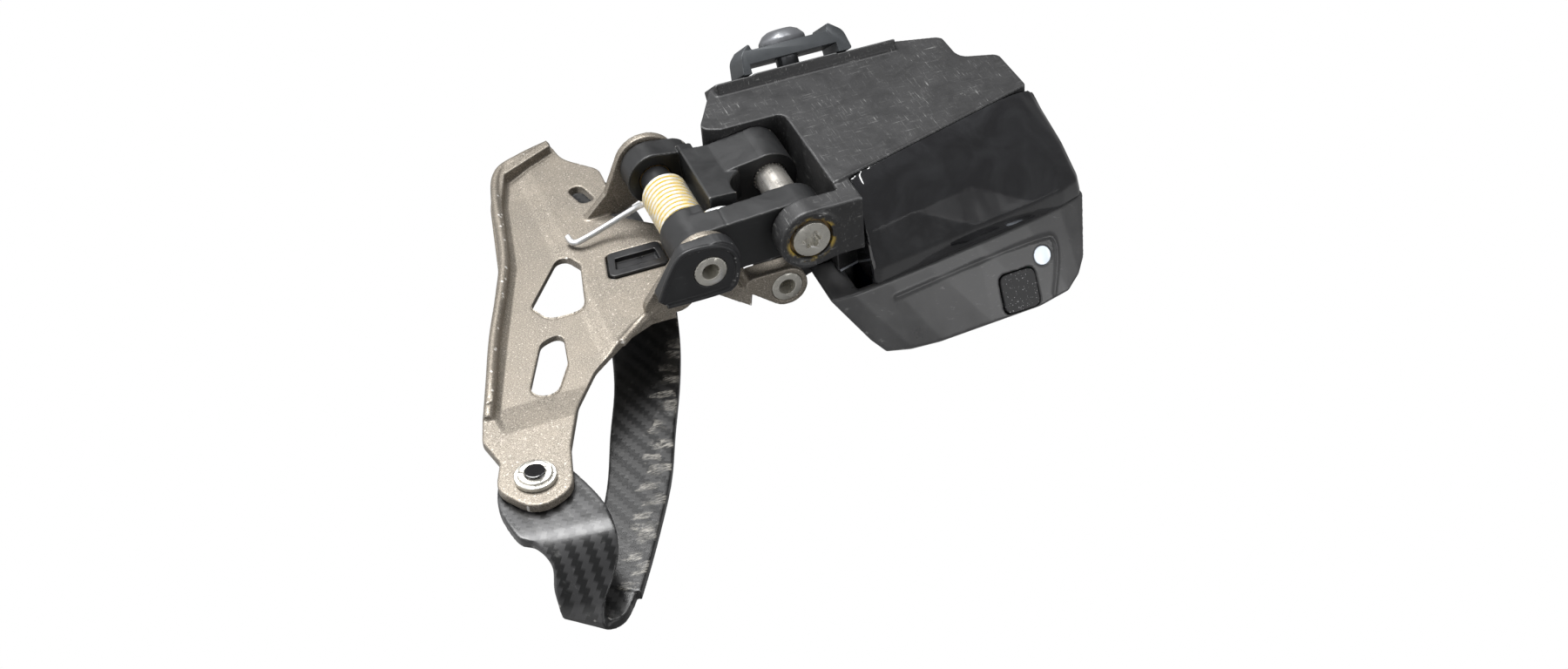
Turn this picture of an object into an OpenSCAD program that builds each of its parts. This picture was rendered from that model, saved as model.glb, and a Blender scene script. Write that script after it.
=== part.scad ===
// Wireless electronic front derailleur for a road bicycle.
// X points forward, Y points inboard to the frame, Z points up. Millimetres.
// The origin is on the mounting pad, on the axis of the frame bolt. The modules are drawn from the
// line where the pad's rear edge meets Y = 0, and in_frame() moves them to the origin.

/* [Linkage] */
// Distance between the two pivots of each parallel link
link_len = 21.42; // [20.5:0.01:22]
// Lean of the links at rest, in degrees outboard of vertical
link_lean = 2.54; // [1:0.01:4]
// Distance between the upper and the lower pivot on the housing
base_len = 16.06; // [15.5:0.01:16.5]
// Slope of the line between those pivots, in degrees
base_slope = 12.95; // [12:0.05:14]
// Height of the drive shaft below the frame bolt
shaft_drop = 15.6; // [15.2:0.1:16]
// Distance of the drive shaft outboard of the mounting pad
shaft_out = 9.85; // [9.5:0.05:10.2]
// Radius of the pivot pins
pin_r = 2.6; // [2.4:0.1:2.8]
// Radius of the splined drive shaft
shaft_r = 3.4; // [3.2:0.1:3.6]
// Number of splines on the drive shaft
spline_count = 28; // [20:1:36]

/* [Cage] */
// Outboard distance of the inner cage plate's visible face
inner_plate_out = 20.8; // [20.4:0.1:21.2]
// Thickness of the inner cage plate
inner_plate_t = 2.0; // [1.6:0.1:2.2]
// Clear width between the cage plates
cage_gap = 11.8; // [11:0.1:12.4]
// Thickness of the outer cage plate
outer_plate_t = 2.2; // [1.8:0.1:2.6]
// Thickness of the outer cage plate's tail strap
strap_t = 2.2; // [1.8:0.1:2.2]

/* [Frame mount] */
// Radius of the frame bolt
bolt_r = 2.5; // [2.4:0.05:2.5]
// Width of the mounting pad
pad_w = 12; // [11:0.5:12]
// Angle that the mounting pad turns forward, in degrees
mount_turn = 38; // [36:0.5:40]
// Half length of the mounting pad along Z
pad_half = 9.4; // [8.8:0.1:9.4]
// Thickness of the frame tab that the washer clamps
tab_t = 2.1; // [2.1:0.1:2.4]
// Thickness of the radius washer
washer_t = 2.9; // [2.6:0.1:3]

/* [Housing] */
// Outboard distance of the casing's flat inboard face
face_out = 2.8; // [2.6:0.1:3]
// Outboard distance of the lower cover's outer face
housing_out = 44; // [43.5:0.1:45]
// Wall of the housing shells
wall = 1.8; // [1.6:0.1:2]

/* [Drive] */
// Radius of the motor
motor_r = 6; // [5:0.5:6]

/* [Spring] */
// Wire radius of the torsion spring
wire_r = 0.65; // [0.6:0.05:0.7]
// Number of coils
coils = 10; // [9:1:10]
// Mean radius of the coils
coil_r = 4.35; // [4.3:0.05:4.4]

/* [Hidden] */
$fn = 48;
run_gap = 0.05;
side_gap = 0.2;
// Outboard distance of the joint between the casing and the lower cover
split_out = 25;
// Gear module, and the teeth of the pinions, the wheels and the sector as a full wheel
gear_m = 0.5;
pinion_teeth = 10;
wheel_teeth = 40;
sector_full_teeth = 56;

// Pivots as [Y, Z]
pb = [-shaft_out, -shaft_drop];
pa = pb - link_len * [sin(link_lean), cos(link_lean)];
base = base_len * [-cos(base_slope), -sin(base_slope)];
pc = pb + base;
pd = pa + base;

// Stations along X, from the rear to the front
cap_x = -54;
cap_t = 3.1;
ear_near = cap_x + cap_t + 0.1;
ear_t = 1.8;
boss_near = ear_near + ear_t + side_gap;
spring_near = -38.5;
spring_far = -24.3;
boss_far = -19;
ear_far = -12.8;
arm_near = -47;
leg_near = -19;
leg_far = -2.6;
plate_in = -inner_plate_out;
plate_out = plate_in - inner_plate_t;
outer_in = plate_out - cage_gap;
outer_out = outer_in - outer_plate_t;

// Gear positions as [Y, Z]: output sector on pb, then wheel 2, wheel 1 and the motor
mesh_gap = 0.1;
sector_r = gear_m * sector_full_teeth / 2;
wheel_r = gear_m * wheel_teeth / 2;
pinion_r = gear_m * pinion_teeth / 2;
sector_dist = sector_r + pinion_r + mesh_gap;
wheel_dist = wheel_r + pinion_r + mesh_gap;
pg2 = pb + sector_dist * [-sin(20), cos(20)];
pg1 = pg2 + wheel_dist * [-sin(20), cos(20)];
pm = pg1 + wheel_dist * [-sin(8), cos(8)];

// ---- Shared shapes ----

// A round bar along X between two stations, at p = [Y, Z]
module xcyl(r, x0, x1, p, fn = $fn) {
    translate([x0, p[0], p[1]])
        rotate([0, 90, 0])
            cylinder(r = r, h = x1 - x0, $fn = fn);
}

// A round bar along Y between two stations, at p = [X, Z]
module ycyl(r, y0, y1, p, fn = $fn) {
    translate([p[0], y0, p[1]])
        rotate([-90, 0, 0])
            cylinder(r = r, h = y1 - y0, $fn = fn);
}

// Extrudes a [Y, Z] outline along X
module xplate(x0, x1) {
    translate([x0, 0, 0])
        rotate([90, 0, 90])
            linear_extrude(x1 - x0)
                children();
}

// Extrudes an [X, Z] outline along Y
module yplate(y0, y1) {
    translate([0, y1, 0])
        rotate([90, 0, 0])
            linear_extrude(y1 - y0)
                children();
}

// The tangent quadrilateral between two circles
function tangent_quad(p, rp, q, rq) =
    let (d = q - p, len = norm(d), a = atan2(d[1], d[0]), b = acos((rp - rq) / len))
    [p + rp * [cos(a + b), sin(a + b)], p + rp * [cos(a - b), sin(a - b)],
     q + rq * [cos(a - b), sin(a - b)], q + rq * [cos(a + b), sin(a + b)]];

// A straight bar with round ends, as an outline
module bar2d(p, rp, q, rq) {
    translate(p) circle(r = rp);
    translate(q) circle(r = rq);
    polygon(tangent_quad(p, rp, q, rq));
}

// Points of a polygon with its corners rounded: each entry is [x, y, radius]
function corner_arc(p, q, s, r, n) =
    let (u = (p - q) / norm(p - q), v = (s - q) / norm(s - q), half = acos(u * v) / 2,
         t = min(r / tan(half), 0.49 * min(norm(p - q), norm(s - q))), rr = t * tan(half),
         mid = (u + v) / norm(u + v), c = q + mid * rr / sin(half),
         a0 = atan2((q + u * t - c)[1], (q + u * t - c)[0]),
         a1 = atan2((q + v * t - c)[1], (q + v * t - c)[0]),
         turn = (a1 - a0 + 540) % 360 - 180)
    [for (i = [0 : n]) c + rr * [cos(a0 + turn * i / n), sin(a0 + turn * i / n)]];

function rounded(pts, n = 4) =
    [for (i = [0 : len(pts) - 1])
        let (p = pts[(i + len(pts) - 1) % len(pts)], q = pts[i], s = pts[(i + 1) % len(pts)])
        each q[2] > 0
            ? corner_arc([p[0], p[1]], [q[0], q[1]], [s[0], s[1]], q[2], n)
            : [[q[0], q[1]]]];

// Closes a solid over a list of rings, each with the same number of [X, Y, Z] points
module loft(rings) {
    n = len(rings[0]);
    last = len(rings) - 1;
    sides = [for (i = [0 : last - 1])
        for (k = [0 : n - 1])
            let (a = i * n + k, b = i * n + (k + 1) % n)
            each [[a, b + n, b], [a, a + n, b + n]]];
    ends = [[for (k = [0 : n - 1]) k], [for (k = [0 : n - 1]) last * n + n - 1 - k]];
    polyhedron([for (r = rings) each r], concat(sides, ends), convexity = 10);
}

// ---- Housing ----

// X of the seam on the flat face, and of the edge between the two covers, at height z
function seam_x(z) = -46.8 + 0.31 * (z + 6.8);
function edge_x(z) = -54 + 0.183 * (z - 3);

case_top = 42;
case_low = -8;
case_back = split_out + 0.45;
chamber_x0 = -16.8;
chamber_x1 = -4.4;

// The casing's outline on its flat face, in X and Z
case_outline = [[leg_far, -18.5, 2], [-17, -26, 2], [leg_near, -22, 1], [leg_near, case_low, 2],
    [seam_x(case_low), case_low, 0], [seam_x(case_top), case_top, 1], [-18, case_top, 2],
    [-15.3, 34, 3], [-6, 34, 2], [leg_far, 22, 3]];

// The ridge on both sides of the pad sits this much below it, and runs between these heights
pad_step = 0.25;
ridge_z = [-18.4, 23];
boss_l = 6.9;

// The pad's rear edge lies at X = ridge_x and Y = 0, and the pad turns forward from there
ridge_x = -6;
mount_at = [ridge_x + pad_w / 2 * cos(mount_turn), -pad_w / 2 * sin(mount_turn), 0];
module on_mount() {
    translate(mount_at)
        rotate([0, 0, -mount_turn])
            children();
}

module in_frame() {
    translate(-mount_at)
        children();
}

// The block behind the pad, between two heights and a step below the pad
module pad_block(z, step) {
    translate([0, 0, z[0]])
        linear_extrude(z[1] - z[0])
            polygon([[-pad_w / 2, -step], [pad_w / 2, -step], [pad_w / 2 - 0.6, -5], [1.6, -8],
                [-5, -7], [-pad_w / 2 + 1.3, -3.6]]);
}

module main_casing() color([0.10, 0.10, 0.11]) {
    difference() {
        union() {
            yplate(-split_out, -face_out) polygon(rounded(case_outline));
            // Mounting pad, proud of the flat face, and the thread boss behind it
            on_mount() pad_block([-pad_half, pad_half], 0);
            on_mount() pad_block(ridge_z, pad_step);
            on_mount() ycyl(4.2, -boss_l, -1, [0, 0]);
            // Near lug on the drive shaft's axis, and the neck that carries it
            xplate(cap_x, cap_x + 5) {
                bar2d(pb, 6.8, [-9.4, -10.7], 6.2);
                translate([-15.6, -10]) square([12.4, 5.6]);
            }
            translate([cap_x, -15.6, case_low]) cube([12, 12.4, 3.6]);
            // Lugs on the lower link's axis
            xplate(-42.2, -38) bar2d(pc, 4.5, [-20.6, -6], 4.2);
            xplate(leg_near, -8) bar2d(pc, 4.6, [-20, -12], 4.9);
        }
        // Hollow for the motor, battery and gears, open on the outboard side
        yplate(-split_out - 1, -face_out - wall)
            polygon([[chamber_x1, -2], [seam_x(-2) + wall, -2], [seam_x(39) + wall, 39], [-20, 39],
                [-17.5, 31], [chamber_x1, 31]]);
        // Hollow for the output sector, down in the front leg
        yplate(-22.5, -face_out - wall)
            polygon([[chamber_x1, -18.5], [-12.4, -20.5], [-12.4, 0], [chamber_x1, 0]]);
        // Pocket for the second wheel, which reaches down into the front leg
        xcyl(wheel_r + 0.9, gear_2_x - 2.4, chamber_x1, pg2);
        // Bearing seats on the drive shaft's axis, and the lower link's pin bores
        xcyl(4.6, cap_x - 1, cap_x + 6, pb);
        xcyl(4.6, leg_near - 1, leg_far - 0.6, pb);
        xcyl(3.6, -43, -37, pc);
        xcyl(pin_r + run_gap, leg_near - 1, -10, pc);
        // Seats for the gear axles, and for the frame bolt's thread insert
        for (p = [pg1, pg2]) xcyl(1.02, chamber_x1 - 1, leg_far - 0.6, p);
        on_mount() ycyl(3.2, -boss_l + 0.6, 1, [0, 0]);
        // Pilot holes for the cover screws
        for (p = screw_places) ycyl(0.8, -split_out - 1, -split_out + 8, p);
    }
}

// Places of the lower cover's screws, in X and Z
screw_places = [[-16, -5.4], [-44.5, -5.4], [-28.5, 40.6], [-14.6, 32.6]];

// X of the rear, outboard corner of the lower cover at height z
function corner_x(z) = -59 + 0.077 * (z - 10);

// One ring of the rear cover: k draws the section in, skew leans the ring, m is the wall
function rear_ring(z, k, skew, m) =
    let (s = seam_x(z) - 0.02 - (z > 38 ? m : 0), e = edge_x(z), zz = z + m * (z > 20 ? -1 : 1))
    [for (p = [[s, -face_out - m - k / 2], [s - 3.4 + m / 2 + k / 4, -face_out - 1.6 - m - k],
        [(s + e) / 2 - 3.6 + m + k / 2, -12 - k / 3], [e - 1.4 + m + k, -20 + m / 2],
        [e + m + k, -case_back + m / 2], [s, -case_back + m / 2]])
        [p[0], p[1], zz + skew * (-p[1] - face_out)]];

rear_levels = [[-4.4, 1.4, 0.05], [-2, 0.2, 0], [8, 0, 0], [22, 0, 0], [35, 0, 0.05], [39.5, 0.9, 0.2],
    [42, 2.4, 0.3], [43, 4.2, 0.3]];

module rear_cover_solid(m) loft([for (v = rear_levels) rear_ring(v[0], v[1], v[2], m)]);

module rear_cover() color([0.02, 0.02, 0.025]) {
    difference() {
        rear_cover_solid(0);
        intersection() {
            rear_cover_solid(wall);
            translate([-70, -case_back + wall, -20]) cube([90, 30, 80]);
        }
    }
}

// One ring of the lower cover, in the same terms
function lower_ring(z, k, skew, m) =
    let (e = edge_x(z), c = corner_x(z), zz = z + m * (z > 20 ? -1 : 1), out = -housing_out + m + 1.2 * k)
    [for (p = [[e + m + k / 2, -split_out - 0.5 + 0.01 * m], [c + m + k, out + 3], [c + 2 + m + k, out + 1],
        [c + 5 + m + k, out], [-9 - m - k, out], [-4.5 - m - k, out + 3],
        [leg_far - m - k / 2, -split_out - 0.5 + 0.01 * m]])
        [p[0], p[1], zz + skew * (-p[1] - split_out - 0.5)]];

lower_levels = [[-13, 3.6, 0.66], [-8, 1.4, 0.38], [0, 0.5, 0.2], [10, 0, 0], [22, 0, 0], [34, 0, 0],
    [43, 0.6, -0.15], [48, 2.2, -0.3], [50, 4.2, -0.36]];

module lower_cover_solid(m) loft([for (v = lower_levels) lower_ring(v[0], v[1], v[2], m)]);

// The lower cover's rear face is ruled from the covers' edge to the corner
ruled_h = housing_out - 3 - split_out - 0.5;
function along(y) = (-split_out - 0.5 - y) / ruled_h;
function face_x(y, z) = edge_x(z) + along(y) * (corner_x(z) - edge_x(z));
function face_tilt(z) = atan((edge_x(z) - corner_x(z)) / ruled_h);
function face_lean(y) = atan(0.183 + along(y) * (0.077 - 0.183));
module on_rear_face(y, z) {
    translate([face_x(y, z), y, z])
        rotate([0, 0, -face_tilt(z)])
            rotate([0, face_lean(y), 0])
                children();
}

button_y = -37;
button_z = 29.4;
button_w = 8.4;
led_y = -32.3;
led_z = 36.4;

// A rounded square along the rear face's normal: d0 and d1 are depths into the housing
module button_shape(w, d0, d1) {
    rotate([90, 0, 90])
        translate([0, 0, d0])
            linear_extrude(d1 - d0)
                polygon(rounded([[-w / 2, -w / 2, 1.6], [w / 2, -w / 2, 1.6],
                    [w / 2, w / 2, 1.6], [-w / 2, w / 2, 1.6]]));
}

module round_on_face(r, d0, d1) {
    rotate([0, 90, 0])
        translate([0, 0, d0])
            cylinder(r = r, h = d1 - d0);
}

// Room for the casing's lugs, which reach past the split
module lug_room() {
    xplate(-42.5, -37.7) bar2d(pc, 4.8, [-20.6, -6], 4.5);
    xplate(leg_near - 0.3, -7.7) bar2d(pc, 4.9, [-20, -12], 5.2);
}

module lower_cover() color([0.16, 0.16, 0.17]) {
    difference() {
        union() {
            difference() {
                lower_cover_solid(0);
                lower_cover_solid(wall);
                on_rear_face(button_y, button_z) button_shape(button_w + 0.5, -4, 6);
                on_rear_face(led_y, led_z) round_on_face(2.05, -4, 6);
            }
            // Screw posts
            intersection() {
                lower_cover_solid(0);
                for (p = screw_places) ycyl(1.6, -housing_out, -split_out - 0.5, p);
            }
            // Flange that closes the shell where it reaches past the casing's outline
            intersection() {
                lower_cover_solid(0);
                yplate(-split_out - 0.5 - wall, -split_out - 0.5) difference() {
                    translate([-60, -20]) square([60, 80]);
                    polygon([[-57, -6.5], [-4.4, -6.5], [-4.4, 21.5], [-7.6, 32.6], [-16.4, 32.6],
                        [-19.4, 40.6], [-57, 40.6]]);
                }
            }
        }
        for (p = screw_places) ycyl(0.8, -split_out - 6.1, -split_out, p);
        lug_room();
    }
}

module casing_gasket() color([0.45, 0.46, 0.48]) {
    difference() {
        yplate(-split_out - 0.5, -split_out) difference() {
            union() {
                difference() {
                    polygon([[leg_far, -4], [leg_far, 22], [-7, 33.6], [-16, 34], [-19, 41.6],
                        [seam_x(41.6), 41.6], [seam_x(-7.4), -7.4], [-21, -7.4]]);
                    polygon([[chamber_x1, -1], [chamber_x1, 21], [-8, 31], [-18, 31], [-21, 38.6],
                        [seam_x(38.6) + 3, 38.6], [seam_x(-4) + 3, -4], [-20, -5], [-12, -4.7]]);
                }
                translate(screw_places[0]) circle(r = 2);
            }
            for (p = screw_places) translate(p) circle(r = 1.3);
        }
        lug_room();
    }
}

module cover_screws() color([0.55, 0.55, 0.57]) {
    for (p = screw_places)
        ycyl(0.75, -split_out - 6, -split_out + 6, p);
}

// ---- Frame mount ----

// The bolt's head sits in a shallow counterbore of the washer, on this floor
head_r = 5.2;
head_y = tab_t + washer_t - 0.8;

module frame_bolt() color([0.12, 0.12, 0.13]) {
    on_mount() difference() {
        union() {
            ycyl(bolt_r, -boss_l + 1, head_y + 0.5, [0, 0]);
            ycyl(head_r, head_y + 0.02, head_y + 2, [0, 0]);
            translate([0, head_y + 2, 0])
                rotate([-90, 0, 0])
                    cylinder(r1 = head_r, r2 = head_r - 1.2, h = 1.4);
            translate([0, head_y + 3.4, 0])
                rotate([-90, 0, 0])
                    cylinder(r1 = head_r - 1.2, r2 = head_r - 2.4, h = 0.6);
        }
        translate([0, head_y + 1.4, 0])
            rotate([-90, 0, 0])
                cylinder(r = 2.31, h = 4, $fn = 6);
    }
}

// The washer bridges the frame tab: its ends stand just outside the pad, with curved outer sides
washer_z = [-11.8, 13.2];

module radius_washer() color([0.13, 0.13, 0.14]) {
    low = tab_t + washer_t;
    on_mount() difference() {
        xplate(-5.95, 5.95)
            polygon(rounded([[0, washer_z[0], 0.5], [0, -pad_half - 0.4, 0], [tab_t, -pad_half - 0.4, 0],
                [tab_t, pad_half + 0.6, 0], [0, pad_half + 0.6, 0], [0, washer_z[1], 0.5],
                [low - 0.6, washer_z[1] - 1, 3], [low + 1.8, washer_z[1] - 4.2, 0.4],
                [low, washer_z[1] - 4.6, 0.4], [low, washer_z[0] + 3.2, 0.4],
                [low + 1.6, washer_z[0] + 2.8, 0.4], [low - 0.6, washer_z[0] + 0.6, 3]]));
        ycyl(head_r + 0.3, head_y, low + 4, [0, 0]);
        ycyl(bolt_r + 0.2, -1, low + 4, [0, 0]);
    }
}

module mount_insert() color([0.62, 0.62, 0.64]) {
    on_mount() difference() {
        ycyl(3.18, -boss_l + 0.7, -0.3, [0, 0]);
        ycyl(bolt_r + 0.02, -13, 1, [0, 0]);
    }
}

// ---- Drive ----

module drive_shaft() color([0.82, 0.82, 0.84]) {
    xcyl(shaft_r, cap_x + 1.6, leg_far - 0.9, pb);
    // Splines where the shaft drives the far arm of the upper link
    for (i = [0 : spline_count - 1])
        translate([-30.4, pb[0], pb[1]])
            rotate([i * 360 / spline_count, 0, 0])
                translate([0, shaft_r - 0.1, -0.14]) cube([10.8, 0.26, 0.28]);
}

module star_socket(r, depth) {
    rotate([0, 90, 0]) {
        cylinder(r = r * 0.72, h = depth);
        for (i = [0 : 5])
            rotate([0, 0, i * 60]) translate([r * 0.72, 0, 0]) cylinder(r = r * 0.26, h = depth);
    }
}

module drive_screw() color([0.86, 0.86, 0.84]) {
    difference() {
        xcyl(3.9, cap_x - 0.1, cap_x + 1.5, pb);
        translate([cap_x - 0.2, pb[0], pb[1]]) star_socket(2.1, 1.5);
    }
}

module shaft_bearings() color([0.70, 0.58, 0.36]) {
    for (x = [[cap_x + 1.7, cap_x + 4.9], [leg_near + 0.1, leg_near + 4], [chamber_x1 + 0.1, leg_far - 0.7]])
        difference() {
            xcyl(4.55, x[0], x[1], pb);
            xcyl(shaft_r + run_gap, x[0] - 1, x[1] + 1, pb);
        }
}

// A spur wheel's outline with slim teeth, which leave running backlash
module wheel2d(teeth, from = 0, to = -1) {
    rp = gear_m * teeth / 2;
    last = to < 0 ? teeth - 1 : to;
    circle(r = rp - gear_m * 1.15);
    for (i = [from : last])
        rotate(i * 360 / teeth)
            polygon([[rp - 1.3 * gear_m, -0.38 * gear_m * 1.5], [rp + 0.7 * gear_m, -0.2 * gear_m],
                [rp + 0.7 * gear_m, 0.2 * gear_m], [rp - 1.3 * gear_m, 0.38 * gear_m * 1.5]]);
}

// Extrudes a wheel's outline along X, turned by a in the Y-Z plane
module wheel(x0, x1, p, a) {
    xplate(x0, x1) translate(p) rotate(a) children();
}

sector_x = -11.6;
module output_sector() color([0.75, 0.72, 0.60]) {
    difference() {
        union() {
            intersection() {
                wheel(sector_x, sector_x + 3, pb, 110) wheel2d(sector_full_teeth);
                xplate(sector_x, sector_x + 3)
                    polygon([pb, pb + 24 * [-sin(44), cos(44)], pb + 26 * [-sin(18), cos(18)],
                        pb + 24 * [sin(4), cos(4)]]);
            }
            xcyl(4.4, sector_x, sector_x + 3, pb);
        }
        xcyl(shaft_r + 0.01, sector_x - 1, sector_x + 4, pb);
    }
}

// A compound wheel: a pinion that drives the next stage and a wheel beside it
module compound(p, x, a_pinion, a_wheel) {
    difference() {
        union() {
            wheel(x, x + 3.4, p, a_pinion) wheel2d(pinion_teeth);
            wheel(x - 2, x, p, a_wheel) wheel2d(wheel_teeth);
        }
        xcyl(1.05, x - 4, x + 5, p);
    }
}

gear_2_x = sector_x - 0.2;
gear_1_x = gear_2_x - 2.2;
tooth_half = 180 / pinion_teeth;

module gear_2() color([0.75, 0.72, 0.60])
    compound(pg2, gear_2_x, 290 + tooth_half, 110);

module gear_1() color([0.75, 0.72, 0.60])
    compound(pg1, gear_1_x, 290 + tooth_half, 98);

module gear_axles() color([0.80, 0.80, 0.82]) {
    xcyl(1.0, chamber_x0 + 0.4, leg_far - 0.7, pg1);
    xcyl(1.0, chamber_x0 + 0.4, leg_far - 0.7, pg2);
}

module motor_pinion() color([0.78, 0.70, 0.42]) {
    wheel(gear_1_x - 2.4, gear_1_x + 0.4, pm, 278 + tooth_half) wheel2d(pinion_teeth);
    xcyl(0.75, -19.6, gear_1_x - 2, pm);
}

module drive_motor() color([0.66, 0.67, 0.69]) {
    difference() {
        union() {
            xcyl(motor_r, -31.4, -18.4, pm);
            xcyl(2, -18.4, -17.7, pm);
            xcyl(1.6, -32.8, -31.4, pm);
        }
        xcyl(0.8, -20, -17, pm);
    }
}

module gearbox_plate() color([0.30, 0.30, 0.32]) {
    difference() {
        xplate(-18.2, chamber_x0)
            polygon([[-24, -1.8], [-4.8, -1.8], [-4.8, 30.6], [-24, 30.6]]);
        xcyl(2.1, -19, -16, pm);
        for (p = [pg1, pg2]) xcyl(1.02, chamber_x0 - 1, -16, p);
    }
}

// ---- Electronics ----

module battery_cell() color([0.18, 0.32, 0.50]) {
    yplate(-40.4, -30.4)
        polygon(rounded([[-44, 1.5, 3], [-20, 1.5, 3], [-20, 37.5, 3], [-44, 37.5, 3]]));
}

module circuit_board() color([0.06, 0.28, 0.16]) {
    on_rear_face(-33, 24) translate([4.6, -6, -16]) cube([1, 12.6, 28]);
    on_rear_face(-33, 24) translate([5.6, -5, -13]) cube([0.8, 6, 6]);
}

module tact_switch() color([0.80, 0.80, 0.80]) {
    on_rear_face(button_y, button_z) {
        translate([3.2, -1.6, -1.6]) cube([1.3, 3.2, 3.2]);
        round_on_face(0.8, 2.8, 3.2);
    }
}

module mode_button() color([0.07, 0.07, 0.075]) {
    on_rear_face(button_y, button_z) button_shape(button_w, -0.3, 1.7);
}

module button_seal() color([0.04, 0.04, 0.04]) {
    on_rear_face(button_y, button_z)
        difference() {
            button_shape(button_w + 0.3, wall + 0.5, wall + 0.9);
            rotate([0, 90, 0]) cylinder(r = 3, h = 6);
        }
}

module status_led() color([0.95, 0.95, 0.90]) {
    on_rear_face(led_y, led_z) translate([3, -0.8, -0.8]) cube([1.2, 1.6, 1.6]);
}

module led_lens() color([0.92, 0.95, 1.0]) {
    on_rear_face(led_y, led_z) round_on_face(2.0, 0.1, 2.6);
}

module position_magnet() color([0.55, 0.56, 0.60]) {
    bush(pb, sector_x + 3.1, sector_x + 3.9, 4.4, shaft_r + 0.01);
}

// ---- Links ----

module upper_link() color([0.07, 0.07, 0.075]) {
    difference() {
        union() {
            // Near arm, far arm, and the web between them
            xplate(boss_near, -42) bar2d(pa, 5.7, pb, 5.9);
            xplate(-42, -39) {
                translate(pa) circle(r = 5.7);
                polygon([pa + [5.6, 1], pb + [5, -7], pb + [-3, -7], pa + [-3.4, 4.6]]);
            }
            xplate(-30.5, leg_near - 0.3) {
                translate(pb) circle(r = 5.9);
                polygon([pb + [5.6, -2], pa + [5, 8], pa + [-2.2, 8], pb + [-5.6, -2]]);
            }
            xplate(boss_far, boss_far + 5.9) bar2d(pa, 6, pb - [0, 16.3], 4.2);
            xplate(-42, leg_near - 0.3)
                polygon([pa + [5.8, 5.6], pb + [4.4, -7], pb + [-2.6, -7], pa + [-2.2, 6]]);
            xplate(leg_near - 0.4, boss_far + 2)
                polygon([pa + [5.8, 5.6], pb + [4.4, -12.6], pb + [-2.6, -12.6], pa + [-2.2, 6]]);
        }
        // Round notch that shows the shaft between the arms
        ycyl(5.6, -20, 0, [-36.2, pb[1] - 4.6]);
        // Pocket round the spring
        xcyl(5.9, boss_near + 9.9, boss_far, pa);
        // Bores for the pin bushes and the splined shaft
        xcyl(3.4, boss_near - 1, -38, pa);
        xcyl(3.4, boss_far - 1, -12, pa);
        xcyl(shaft_r + 0.03, boss_near - 1, -41, pb);
        xcyl(shaft_r + 0.2, -31, leg_near, pb);
        // Groove that the spring's fixed leg lies in
        translate([-42.5, -9.4, -33.8]) cube([4.2, 7, 12.3]);
    }
}

module lower_link() color([0.72, 0.68, 0.60]) {
    barrel_x = [-36, -20];
    difference() {
        union() {
            xplate(arm_near, -42.5) bar2d(pc, 4.5, pc + [2.4, -6.8], 2);
            xplate(-25.4, leg_near - 0.3) bar2d(pc, 4.4, pc + [0, -9], 3);
            xcyl(3.9, barrel_x[0], barrel_x[1], pd);
            // Web that slants forward from the near boss to the barrel
            intersection() {
                yplate(pc[0] - 4, pc[0] + 4)
                    polygon([[arm_near, pc[1] - 8], [-42.6, pc[1] - 6.2], [-36, pc[1] - 7], [-20, pc[1] - 7],
                        [leg_near - 0.3, pc[1] - 8], [barrel_x[1] - 0.1, pd[1] + 5.6],
                        [barrel_x[1] - 0.1, pd[1] + 1], [barrel_x[0] + 0.1, pd[1] + 1],
                        [barrel_x[0] + 0.1, pd[1] + 5.4]]);
                xplate(arm_near, leg_near - 0.3)
                    polygon([pc + [2, -4], pd + [1.8, 0], pd + [-2.2, 0], pc + [-2.2, -4]]);
            }
        }
        xcyl(3.36, arm_near - 0.1, arm_near + 0.9, pc);
        xcyl(pin_r + run_gap, arm_near - 1, -17, pc);
        xcyl(pin_r, barrel_x[0] - 1, barrel_x[1] + 1, pd);
    }
}

// A hollow rivet pin with a flanged near end
module hollow_pin(p, x0, x1, flange_t, rf = 3.35) {
    difference() {
        union() {
            xcyl(rf, x0, x0 + flange_t, p);
            xcyl(pin_r, x0, x1, p);
        }
        xcyl(1.75, x0 - 1, x0 + 7, p);
    }
}

module pivot_pin_a() color([0.85, 0.84, 0.80]) hollow_pin(pa, cap_x - 0.1, ear_far + ear_t + 0.4, 2.6);
module pivot_pin_c() color([0.85, 0.84, 0.80]) hollow_pin(pc, arm_near + 0.05, -10.4, 0.8, 3.3);
module pivot_pin_d() color([0.85, 0.84, 0.80]) xcyl(pin_r - 0.02, -38.9, -17.2, pd);

module bush(p, x0, x1, r_out, r_in) {
    difference() {
        xcyl(r_out, x0, x1, p);
        xcyl(r_in, x0 - 1, x1 + 1, p);
    }
}

module link_bushes() color([0.70, 0.58, 0.36]) {
    bush(pa, boss_near + 0.05, -39.05, 3.38, pin_r + run_gap);
    bush(pa, boss_far + 0.05, boss_far + 5.85, 3.38, pin_r + run_gap);
}

module pin_c_bushes() color([0.08, 0.08, 0.085])
    bush(pc, -42.15, -38.05, 3.55, pin_r + run_gap);

module spring_sleeve() color([0.06, 0.06, 0.065])
    bush(pa, -38.9, boss_far - 0.1, 3.3, pin_r + run_gap);

// ---- Torsion spring ----

// The coils end on top, half a turn past the side where they begin
coil_steps = coils * 8 + 4;
// Path of the wire, in X, Y and Z: cage leg, coils, then the leg that lies on the upper link
cage_leg_end = [-19.4, -19.6, -56.4];
spring_path = concat(
    [cage_leg_end, cage_leg_end + [-3.4, 2.6, 6.6]],
    [for (i = [0 : coil_steps])
        let (a = 200 + i * 45)
        [spring_far - (i / coil_steps) * (spring_far - spring_near) + 0.2, pa[0] + coil_r * sin(a),
            pa[1] + coil_r * cos(a)]],
    [[-40.6, -6.6, -30.4], [-40.6, -6.6, -22.6]]);

module torsion_spring() color([0.84, 0.86, 0.88]) sweep(spring_path, wire_r, 6);

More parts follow.
